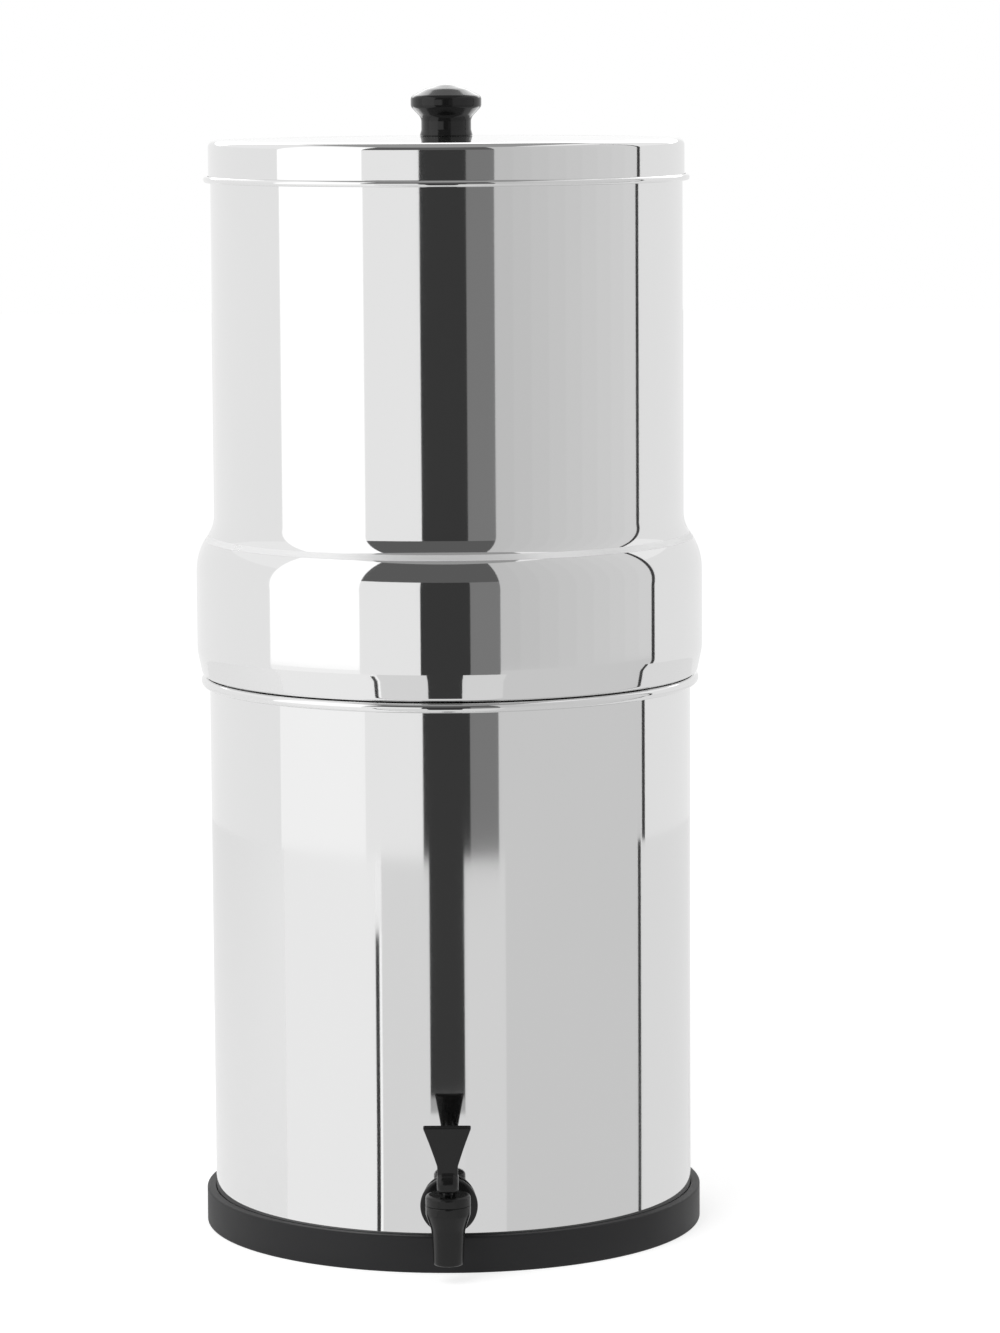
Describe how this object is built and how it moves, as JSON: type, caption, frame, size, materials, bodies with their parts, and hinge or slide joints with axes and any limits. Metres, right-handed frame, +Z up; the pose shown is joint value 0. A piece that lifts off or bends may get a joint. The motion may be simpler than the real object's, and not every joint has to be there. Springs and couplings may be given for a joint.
{
  "type": "gravity water filter",
  "caption": "Countertop gravity water filter: a narrow-walled steel chamber nested on a lower one, a lid with a knob, a rubber base ring and a lever tap.",
  "frame": {"origin": "centre of the base ring's underside, on the surface it stands on", "axes": "+Z up along the chambers' axis, -Y towards the tap, +X to the viewer's right"},
  "size_m": [0.2534, 0.2869, 0.573],
  "materials": {
    "steel": "mirror polished stainless steel",
    "rubber_black": "satin moulded rubber",
    "tap_plastic": "semi-gloss black moulding",
    "washer_rubber": "matt rubber",
    "nut_plastic": "natural white moulding",
    "spring_steel": "drawn wire",
    "stem_plastic": "satin black moulding",
    "seal_silicone": "translucent grey silicone",
    "carbon": "pressed carbon, fine matt grain",
    "element_plastic": "matt black moulding",
    "knob_plastic": "glossy black moulding",
    "screw_steel": "plain stainless steel"
  },
  "bodies": {
    "lower": {"base_ring": "rubber_black", "lower_chamber": "steel", "tap_body": "tap_plastic", "tap_outer_washer": "washer_rubber", "tap_inner_washer": "washer_rubber", "tap_nut": "nut_plastic", "tap_bonnet": "tap_plastic", "tap_spring": "spring_steel"},
    "stem": {"tap_stem": "stem_plastic", "tap_seal_cup": "seal_silicone", "lever_pin": "spring_steel"},
    "lever": {"tap_lever": "tap_plastic"},
    "upper": {"upper_chamber": "steel", "carbon_block_left": "carbon", "carbon_block_right": "carbon", "element_cap_left": "element_plastic", "element_cap_right": "element_plastic", "element_base_left": "element_plastic", "element_base_right": "element_plastic", "floor_washers": "washer_rubber", "wing_nuts": "nut_plastic", "blocking_plugs": "nut_plastic"},
    "lid": {"lid": "steel", "lid_knob": "knob_plastic", "lid_knob_screw": "screw_steel", "lid_knob_washer": "screw_steel"}
  },
  "joints": [
    {"name": "upper_chamber_lift", "type": "slide", "parent": "lower", "child": "upper", "axis": [0, 0, 1], "range_m": [0, 0.06]},
    {"name": "lid_lift", "type": "slide", "parent": "upper", "child": "lid", "axis": [0, 0, 1], "range_m": [0, 0.04]},
    {"name": "stem_lift", "type": "slide", "parent": "lower", "child": "stem", "axis": [0, 0, 1], "range_m": [0, 0.0038], "stiffness_N_per_m": 60, "springref_m": -0.0042, "deforming": ["tap_spring"]},
    {"name": "lever_tilt", "type": "hinge", "parent": "stem", "child": "lever", "pos_m": [0, -0.14565, 0.04931], "axis": [1, 0, 0], "range_deg": [0, 55]}
  ],
  "couplings": [
    {"joint": "lever_tilt", "follows": "stem_lift", "rad_per_m": 252.61}
  ]
}
